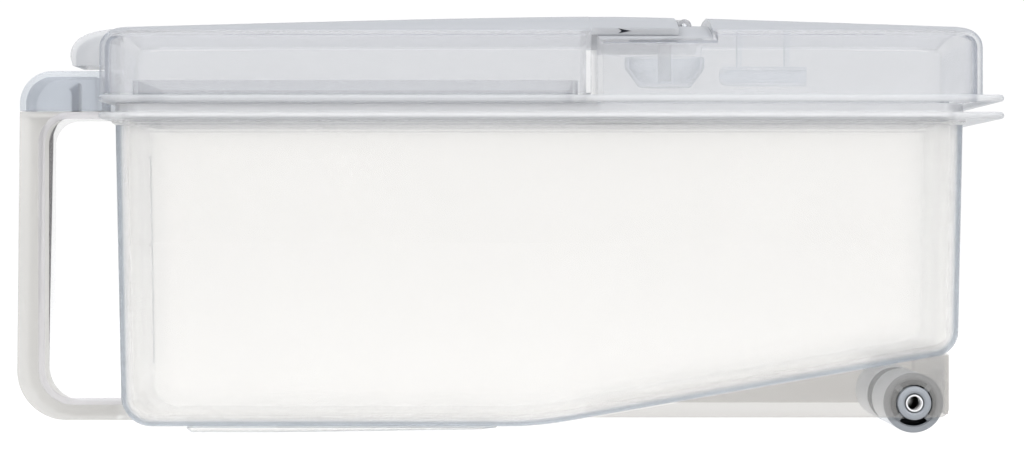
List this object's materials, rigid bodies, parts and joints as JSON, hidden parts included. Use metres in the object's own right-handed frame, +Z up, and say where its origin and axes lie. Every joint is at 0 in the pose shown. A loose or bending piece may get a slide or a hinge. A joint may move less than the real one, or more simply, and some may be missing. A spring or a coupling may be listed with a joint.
{
  "type": "fresh water tank",
  "caption": "Slide-in fresh water tank: frosted tub with rising floor, loop handle, lift-off lid with hinged filler flap, and rear rollers in snap seats.",
  "frame": {"origin": "centre of the footprint, on the plane that the runners and rollers stand on", "axes": "+X from the handle to the rear, +Z up"},
  "size_m": [0.3426, 0.14, 0.1452],
  "materials": {
    "clear_plastic": "frosted translucent polypropylene, bluish at its edges",
    "cap_plastic": "blue-grey translucent polypropylene",
    "scale_relief": "moulded relief",
    "seal_silicone": "satin silicone",
    "roller_plastic": "satin acetal",
    "dark_print": "printed mark",
    "stainless": "polished stainless steel"
  },
  "bodies": {
    "tank": {"tank_tub": "clear_plastic", "skirt_left": "clear_plastic", "skirt_right": "clear_plastic", "rear_crossbar": "clear_plastic", "runner_left": "clear_plastic", "runner_right": "clear_plastic", "handle_loop": "clear_plastic", "handle_cap": "cap_plastic", "cap_hook": "cap_plastic", "level_scale": "scale_relief"},
    "lid": {"lid_frame": "clear_plastic", "lid_seal": "seal_silicone", "flap_hinge_pin": "stainless", "drip_cup": "clear_plastic", "vent_tube": "clear_plastic"},
    "flap": {"filler_flap": "clear_plastic", "flap_arrow": "dark_print"},
    "rollers": {"roller_left": "roller_plastic", "roller_right": "roller_plastic", "axle_tube": "stainless"}
  },
  "joints": [
    {"name": "lid_lift", "type": "slide", "parent": "tank", "child": "lid", "axis": [0, 0, 1], "range_m": [0, 0.06]},
    {"name": "flap_hinge", "type": "hinge", "parent": "lid", "child": "flap", "pos_m": [0.0634, 0, 0.1407], "axis": [0, 1, 0], "range_deg": [0, 110]},
    {"name": "roller_spin", "type": "hinge", "parent": "tank", "child": "rollers", "pos_m": [0.1407, 0, 0.0103], "axis": [0, 1, 0], "continuous": true}
  ]
}
